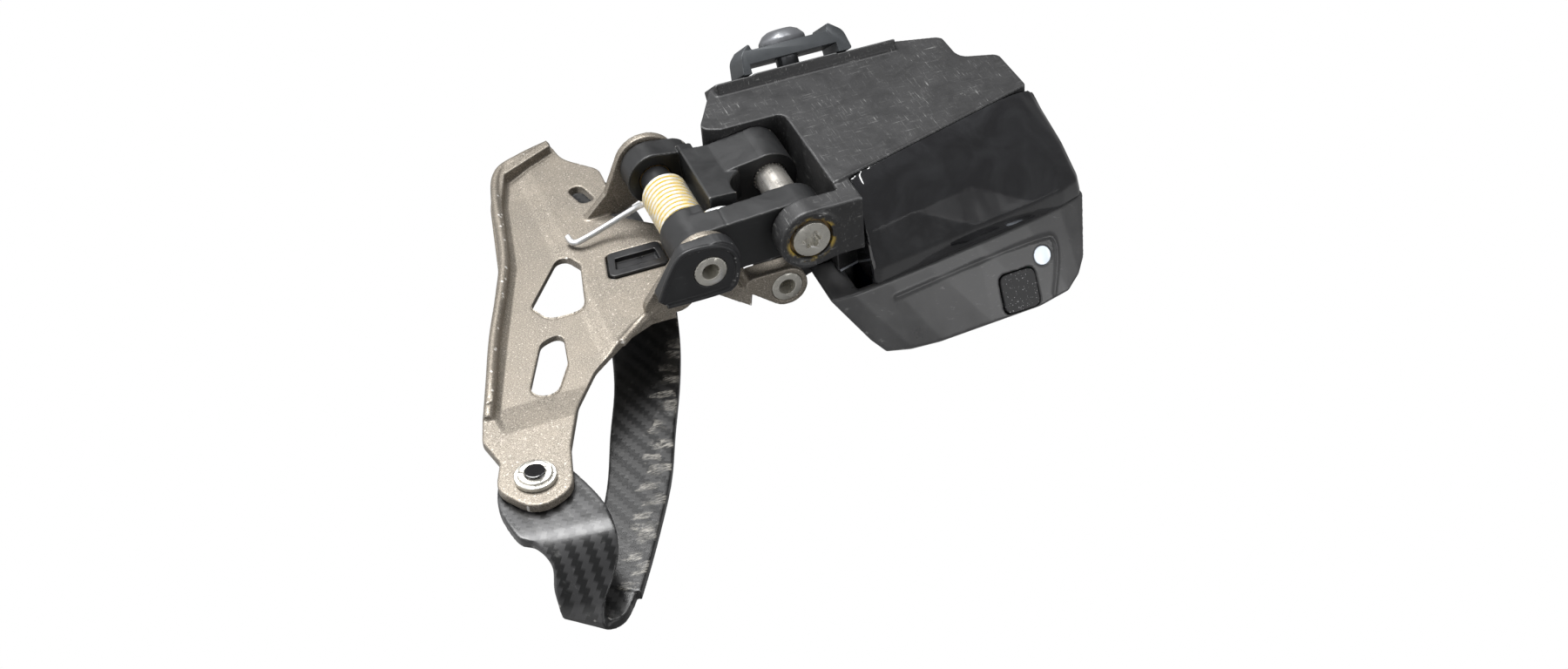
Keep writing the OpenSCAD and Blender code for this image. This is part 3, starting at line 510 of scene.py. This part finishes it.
def satin_shell():
    s = Shader("satin_shell")
    cloud = s.noise(0.12, 4.0, 0.6)
    rub = s.noise(1.0, 5.0, 0.75, s.stretched((3.2, 0.35, 0.5), (0.3, 0.2, 0.5)))
    marks = s.times(s.ramp(rub, 0.6, 0.8), s.ramp(cloud, 0.42, 0.6))
    tone = s.mix(marks, s.mix(cloud, (0.028, 0.028, 0.029), (0.06, 0.06, 0.061)), (0.24, 0.24, 0.235))
    tone = s.mix(s.times(s.edges(0.53, 0.62), 0.25), tone, (0.3, 0.3, 0.3))
    s.set(Base_Color=tone, Metallic=0.0, Roughness=s.ramp(cloud, 0.3, 0.7, 0.26, 0.4))
    s.bump(s.noise(5.0, 2.0), 0.08, 0.05)
    return s.material


def lit_lens():
    s = Shader("lens_white")
    s.set(Base_Color=(0.72, 0.78, 0.86), Roughness=0.22, Coat_Weight=0.4)
    s.set(Emission_Color=(0.75, 0.82, 0.92), Emission_Strength=0.18)
    s.bump(s.noise(1.0, 2.0), 0.04, 0.1)
    return s.material


GREASY = ((PIVOT_B, 4.2),)
ALLOY = blasted_alloy()
CASING = scuffed_black(
    "casing_black", (0.03, 0.03, 0.031), (0.4, 0.4, 0.39), 0.44, amount=0.9, rings=GREASY)
FORGED = scuffed_black(
    "forged_black", (0.021, 0.0215, 0.0225), (0.2, 0.2, 0.2), 0.42, amount=0.1, metallic=0.35,
    edge=(0.62, 0.6, 0.55))
CAP = scuffed_black(
    "cap_black", (0.02, 0.0205, 0.022), (0.2, 0.2, 0.2), 0.4, amount=0.12, metallic=0.2,
    edge=(0.3, 0.3, 0.3))
GLOSS = gloss_black()
SHELL = satin_shell()
CARBON = carbon("carbon_plate", True)
STRAP = carbon("carbon_strap", False)
RINGS = steel("ring_steel", (0.7, 0.68, 0.62), 0.3)
SHAFT = steel("shaft_steel", (0.62, 0.59, 0.54), 0.3)
SPRING = zinc_spring()
WASHER = plain("washer_black", (0.06, 0.065, 0.07), 0.35, 0.42, 0.12, 5.0)
BOLT = plain("bolt_black", (0.15, 0.155, 0.165), 0.5, 0.36, 0.12, 5.0)
POLYMER = plain("polymer_black", (0.014, 0.014, 0.015), 0.0, 0.33, 0.08, 4.0)
POST = plain("post_black", (0.006, 0.006, 0.007), 0.0, 0.1, 0.02, 2.0, 0.6)

# Finishes of the CAD nodes that no finished piece below replaces
NODE_FINISH = {
    "casing_gasket": plain("gasket_grey", (0.33, 0.35, 0.38), 0.0, 0.5),
    "cover_screws": steel("screw_steel", (0.5, 0.5, 0.5), 0.35),
    "mount_insert": steel("insert_steel", (0.55, 0.55, 0.55), 0.3),
    "shaft_bearings": plain("bronze", (0.45, 0.3, 0.14), 0.9, 0.35),
    "output_sector": steel("gear_steel", (0.52, 0.49, 0.43), 0.34),
    "motor_pinion": plain("pinion_brass", (0.62, 0.45, 0.18), 0.95, 0.28),
    "drive_motor": plain("motor_can", (0.55, 0.56, 0.58), 0.9, 0.32),
    "gearbox_plate": plain("gearbox_plastic", (0.12, 0.12, 0.13), 0.0, 0.5),
    "battery_cell": plain("cell_wrap", (0.05, 0.14, 0.32), 0.0, 0.4),
    "circuit_board": plain("board_green", (0.015, 0.12, 0.05), 0.0, 0.35),
    "tact_switch": plain("switch_metal", (0.6, 0.6, 0.6), 0.8, 0.35),
    "button_seal": plain("seal_rubber", (0.012, 0.012, 0.012), 0.0, 0.6),
    "status_led": plain("led_white", (0.85, 0.85, 0.8), 0.0, 0.2),
    "position_magnet": plain("magnet_plate", (0.42, 0.43, 0.46), 0.9, 0.3),
}
SAME_FINISH = {
    "gear_2": "output_sector",
    "gear_1": "output_sector",
    "gear_axles": "cover_screws",
    "bridge_screws": "cover_screws",
    "link_bushes": "shaft_bearings",
}
FINISHED = {
    "pin_c_bushes": POLYMER,
    "spring_sleeve": POLYMER,
    "pivot_pin_d": SHAFT,
    "drive_shaft": SHAFT,
}
for node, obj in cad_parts.items():
    finish = NODE_FINISH.get(SAME_FINISH.get(node, node)) or FINISHED.get(node) or POLYMER
    obj.data.materials.clear()
    obj.data.materials.append(finish)


# ---- Inner cage plate ----


def inner_plate():
    """The forged plate: a lip along its lower edge, a dished floor and a crease where it turns up."""
    lip = smooth_path(
        [(18.4, -20.6, -51.4), (14.6, -19.6, -58.6), (10.4, -19.2, -64.6), (0, -19.0, -67.9),
         (-22, -19.0, -71.9), (-45.4, -19.0, -80.1), (-60, -19.2, -84.6), (-66.6, -20.6, -87.0)], 8)
    foot = smooth_path(
        [(-50.0, -14, -43.5), (-50.0, -18.0, -47.0), (-50.8, -20.6, -51.5), (-55, -21.2, -57.0)], 8)
    ear = tube(ring_path(*PIVOT_A, 6.0, -50.4, 40, -1.2, 3.0), 0.55)
    parts = [node_copy("inner_cage_plate"), tube(lip, 1.05), tube(foot, 0.95), ear]
    plate = fused(parts, voxel=0.22, smooth=6)
    co = mesh_points(plate.data)
    x, y, z = co.T
    # Height of the floor: the crease runs back and down from the small slot, and the lip's foot is lowest
    crease = z + 57.6 - 0.012 * (x + 20)
    lower = np.clip((-crease) / 4.0, 0, 1)
    dish = -0.75 * lower * lower * (3 - 2 * lower)
    front = np.clip((x - 2) / 8, 0, 1)
    lip_z = np.interp(x, [-66, -45.4, -22, 0, 10.4, 16], [-87, -80.1, -71.9, -67.9, -64.6, -56])
    off_lip = np.clip((z - lip_z - 1.2) / 1.2, 0, 1)
    near_tail = np.clip((x + 72) / 8, 0, 1)
    face = (y > PLATE_IN - 0.35) & (y < PLATE_IN + 0.35) & (x < 15)
    y += np.where(face, dish * off_lip * near_tail * (1 - 0.4 * front), 0)
    set_points(plate.data, np.column_stack([x, y, z]))
    place(plate, "inner_plate_skin", "cage", ALLOY, ["inner_cage_plate"])


inner_plate()


# ---- Outer cage plate and its tail strap ----

OUTER_UPPER = [(21, -40), (8, -36.6), (-8, -36), (-24, -37.6), (-40, -41.3), (-53.4, -45.7), (-68.1, -51.6),
               (-81.6, -57), (-97.4, -65.3), (-108, -71.4)]
OUTER_LOWER = [(-101, -80.6), (-93, -75.8), (-79.2, -69.1), (-65.1, -64.1), (-50.3, -58.7), (-34, -55),
               (-18, -53.4), (0, -53.6), (16.5, -56)]
STRAP_UPPER = [(-80.5, -24, -77), (-88.5, -24, -74.4), (-95, -24, -72.9), (-101, -24.2, -72.8),
               (-104.6, -26.5, -73.6), (-107, -29.6, -75.6), (-110, -32.2, -78.4), (-112.8, -35, -79),
               (-111.6, -36.2, -75.4), (-106.4, -35.7, -71.2)]
STRAP_LOWER = [(-79.5, -24, -88.6), (-88, -24, -91), (-96.9, -24, -89.9), (-99.6, -24.6, -87.2),
               (-103.2, -26.5, -85.6), (-106.2, -29.4, -86.4), (-107.2, -31.9, -86.3), (-107.4, -34.6, -85.6),
               (-104.6, -36, -83.4), (-99.6, -35.7, -79.4)]


def strap_skin(thickness=2.1, steps=7):
    """A closed ribbon lofted between the strap's two smoothed edges."""
    upper, lower = smooth_path(STRAP_UPPER, steps), smooth_path(STRAP_LOWER, steps)
    n = len(upper)
    points = []
    for i in range(n):
        a, b = max(i - 1, 0), min(i + 1, n - 1)
        run = upper[b] + lower[b] - upper[a] - lower[a]
        normal = run.cross(upper[i] - lower[i]).normalized() * thickness / 2
        points += [upper[i] + normal, lower[i] + normal, lower[i] - normal, upper[i] - normal]
    faces = [tuple(range(4)), tuple(4 * (n - 1) + k for k in range(4))]
    for i in range(n - 1):
        for k in range(4):
            a, b = 4 * i, 4 * (i + 1)
            faces.append((a + k, a + (k + 1) % 4, b + (k + 1) % 4, b + k))
    obj = from_faces("strap", points, faces)
    fix_normals(obj, triangles=True)
    return obj


def outer_plate():
    upper = [tuple(p)[:2] for p in smooth_path([(x, z, 0) for x, z in OUTER_UPPER], 5)]
    lower = [tuple(p)[:2] for p in smooth_path([(x, z, 0) for x, z in OUTER_LOWER], 5)]
    band = extrusion(upper + lower, OUTER_OUT, OUTER_IN, 1)
    hole = tube([(RIVET[0], -30, RIVET[1]), (RIVET[0], -20, RIVET[1])], 2.5, 32)
    strap = fused([strap_skin()], [hole], voxel=0.24, smooth=2)
    plate = fused([band, strap], voxel=0.24, smooth=3)
    place(plate, "outer_plate_skin", "cage", CARBON, ["outer_cage_plate"])
    plate.data.materials.append(STRAP)
    on_strap = [int(p.center.y / MM - TO_PAD[1] > OUTER_IN + 0.5) for p in plate.data.polygons]
    plate.data.polygons.foreach_set("material_index", on_strap)


outer_plate()


# ---- Links ----


def upper_link():
    """Forged link: raised bosses round the bores and parting lines across both arms."""
    parts = [node_copy("upper_link")]
    cuts = []
    for x, y in ((-45.4, PIVOT_A[0] + 6.4), (-16.0, PIVOT_A[0] + 6.6)):
        groove = [(x - 3.6, PIVOT_A[1] + 5.6), (x + 4, PIVOT_A[1] + 5.9), (x + 4, PIVOT_A[1] + 6.2),
                  (x - 3.6, PIVOT_A[1] + 5.9)]
        cuts.append(extrusion(groove, y - 1.2, y + 2, 1))
    parts.append(tube(ring_path(*PIVOT_A, 4.7, -48.7, 40), 0.6, closed=True))
    link = fused(parts, cuts, voxel=0.2, smooth=4)
    place(link, "upper_link_skin", "upper_link", FORGED, ["upper_link"])


def lower_link():
    link = fused([node_copy("lower_link")], voxel=0.2, smooth=5)
    place(link, "lower_link_skin", "lower_link", ALLOY, ["lower_link"])


upper_link()
lower_link()


# ---- Spring ----


def spring():
    """The wire in two pieces that share one turn, so it stays whole when the cage winds it up."""
    wire, mean = 0.66, 4.35
    near, far, coils = -38.2, -24.2, 10
    per_turn = 28
    turns = []
    start = math.radians(200)
    steps = coils * per_turn + per_turn // 2
    for i in range(steps + 1):
        a = start + math.tau * i / per_turn
        turns.append((far + (near - far) * i / steps, PIVOT_A[0] + mean * math.sin(a),
                      PIVOT_A[1] + mean * math.cos(a)))
    foot = smooth_path(
        [(-19.0, -19.0, -57.4), (-20.8, -19.6, -56.8), (-21.6, -19.0, -54.8), (-20.4, -18.0, -49.0),
         (-20.6, -15.4, -42.6), turns[0]], 6)
    top = smooth_path(
        [turns[-1], (-39.2, -7.8, -32.2), (-40.4, -6.8, -30.9), (-40.9, -6.6, -29.4),
         (-40.9, -8.0, -25.4), (-40.9, -9.4, -22.3)], 6)
    # The cage's piece ends a few steps inside the shared turn and is a touch thinner, so it never shows
    tuck, thinner = 4, 0.01
    link_part = tube(turns[-per_turn:] + top[1:], wire, 12)
    cage_part = tube(foot[:-1] + turns[:-tuck], wire - thinner, 12)
    for part in (link_part, cage_part):
        part.data.polygons.foreach_set("use_smooth", [True] * len(part.data.polygons))
    place(link_part, "spring_wire", "upper_link", SPRING, ["torsion_spring"])
    place(cage_part, "spring_cage_leg", "cage", SPRING)


spring()


# ---- Cap, pins and rings ----


def cap():
    """The moulded cap: an arched rim round a recessed face."""
    rim = [(-16.2, -46.6), (-16.3, -38), (-15.8, -33.2), (-13.8, -31.9), (-10, -31.4), (-6.8, -32.6),
           (-4.9, -36), (-4.9, -42.2), (-9, -45.4), (-14.6, -47.9)]
    lip = tube(smooth_path([(CAP_X - 0.1, y, z) for y, z in rim], 6), 0.55)
    skin = fused([node_copy("pivot_cap"), lip], voxel=0.14, smooth=4)
    place(skin, "cap_skin", "cage", CAP, ["pivot_cap"])


def small_parts():
    """Machined pieces: the CAD shape with its edges broken."""
    plan = (
        ("pivot_pin_a", "cage", RINGS, "bright_steel", 0.14),
        ("pivot_pin_c", "lower_link", RINGS, "bright_steel", 0.14),
        ("drive_screw", "upper_link", RINGS, "bright_steel", 0.1),
        ("tail_rivet", "cage", RINGS, "shaft_steel", 0.16),
        ("frame_bolt", "housing", BOLT, "black_steel", 0.3),
        ("radius_washer", "housing", WASHER, "washer_black", 0.35),
        ("led_lens", "housing", lit_lens(), "lens_clear", 0.12),
    )
    for node, body, finish, slot, width in plan:
        place(bevelled(node_copy(node), width), node + "_skin", body, finish, [node])
    dome = fused([node_copy("tail_rivet_post")], voxel=0.12, smooth=6)
    place(dome, "rivet_post_skin", "cage", POST, ["tail_rivet_post"])
    bridge = fused([node_copy("cage_bridge")], voxel=0.14, smooth=4)
    place(bridge, "bridge_skin", "cage", POLYMER, ["cage_bridge"])
    button = fused([node_copy("mode_button")], voxel=0.12, smooth=8)
    place(button, "button_skin", "mode_button", speckled_rubber(), ["mode_button"])


cap()
small_parts()


# ---- Housing shells ----


def casing():
    seam = smooth_path([(-46.9, -2.9, -7), (-38.2, -2.9, 21), (-31.8, -2.9, 41.4)], 8)
    rim = tube(ring_path(*PIVOT_B, 6.1, CAP_X + 0.1, 40, 0.4, 4.4), 0.5)
    skin = fused([node_copy("main_casing"), tube(seam, 0.35, 8), rim], voxel=0.26, smooth=4)
    place(skin, "casing_skin", "housing", CASING, ["main_casing"])


def rear_cover():
    skin = fused([node_copy("rear_cover")], voxel=0.3, smooth=14)
    place(skin, "rear_cover_skin", "housing", GLOSS, ["rear_cover"])


def lower_cover():
    """Satin shell with a raised panel line round the button and the light."""
    line = smooth_path([(-55.5, -29.1, 1.1), (-53.7, -28.9, 12.1), (-51.6, -28.9, 24.9), (-50.0, -29.2, 37.2),
                        (-50.4, -30.4, 39.8), (-52.6, -34.2, 39.4), (-56.2, -40.2, 37.0)], 8)
    skin = fused([node_copy("lower_cover"), tube(line, 0.42, 8)], voxel=0.26, smooth=6)
    place(skin, "lower_cover_skin", "housing", SHELL, ["lower_cover"])


casing()
rear_cover()
lower_cover()


# ---- Floor, light and camera ----


def stage():
    floor_z, reach = -0.30, 0.45
    corners = [(-reach, -reach), (reach, -reach), (reach, reach), (-reach, reach)]
    floor = from_faces("floor", [(x, y, floor_z) for x, y in corners], [(0, 1, 2, 3)])
    s = Shader("floor_white")
    s.set(Base_Color=(0.9, 0.9, 0.9), Roughness=0.7)
    floor.data.materials.append(s.material)
    studio()


def studio():
    """A sky that shows white, while the light it gives stays low enough to leave shape in the parts."""
    diffuse, glossy, seen = 0.5, 0.24, 1.0
    world = bpy.data.worlds.new("studio")
    bpy.context.scene.world = world
    world.use_nodes = True
    nodes, links = world.node_tree.nodes, world.node_tree.links
    sky = nodes["Background"]
    sky.inputs["Color"].default_value = (1.0, 1.0, 1.0, 1.0)
    path = nodes.new("ShaderNodeLightPath")

    def choice(ray, yes):
        node = nodes.new("ShaderNodeMapRange")
        node.inputs["To Max"].default_value = yes
        links.new(path.outputs[ray], node.inputs["Value"])
        return node

    in_gloss = choice("Is Glossy Ray", glossy)
    in_gloss.inputs["To Min"].default_value = diffuse
    strength = choice("Is Camera Ray", seen)
    links.new(in_gloss.outputs["Result"], strength.inputs["To Min"])
    links.new(strength.outputs["Result"], sky.inputs["Strength"])
    bpy.context.scene.view_settings.view_transform = "Standard"


# Camera axes in the row frame: to the image's right, to its top, and back from the object
RIGHT = Vector((-0.3538, -0.0649, 0.9331))
UP = Vector((0.5726, 0.7737, 0.2709))
BACK = Vector((-0.7395, 0.6302, -0.2366))
EYE = Vector((-0.36806, 0.24081, -0.12394))


def camera():
    data = bpy.data.cameras.new("camera")
    data.lens = 48
    data.sensor_width = 36
    data.clip_start = 0.01
    obj = bpy.data.objects.new("camera", data)
    bpy.context.scene.collection.objects.link(obj)
    matrix = obj.matrix_world
    for col, axis in enumerate((RIGHT, UP, BACK, EYE)):
        for row in range(3):
            matrix[row][col] = axis[row]
    obj.matrix_world = matrix
    bpy.context.scene.camera = obj


def softbox(name, toward, distance, size, power, mirrored=True):
    """An area light that faces the object's middle; mirrored=False keeps it out of reflections."""
    target = Vector((-0.03, -0.015, -0.02))
    data = bpy.data.lights.new(name, "AREA")
    data.shape = "RECTANGLE"
    data.size, data.size_y = size
    data.energy = power
    obj = bpy.data.objects.new(name, data)
    bpy.context.scene.collection.objects.link(obj)
    obj.location = target + toward.normalized() * distance
    obj.rotation_euler = toward.to_track_quat("Z", "Y").to_euler()
    obj.visible_glossy = mirrored


def lights():
    """Powers are watts. The glint stands in for the fill's reflection on the gloss and satin covers."""
    softbox("key", UP * 1.0 + RIGHT * -0.35 + BACK * 0.45, 0.6, (0.4, 0.25), 6.0)
    softbox("strip", UP * 0.9 + RIGHT * 0.2 + BACK * 0.35, 0.8, (0.5, 0.06), 1.6)
    softbox("side", RIGHT * -1.0 + BACK * 0.7 + UP * 0.2, 0.6, (0.25, 0.4), 2.6)
    softbox("fill", RIGHT * 1.0 + BACK * 0.8 - UP * 0.3, 0.7, (0.3, 0.4), 1.6, mirrored=False)
    softbox("glint", RIGHT * 1.0 + BACK * 0.8 - UP * 0.3, 0.7, (0.035, 0.4), 0.9)


stage()
camera()
lights()
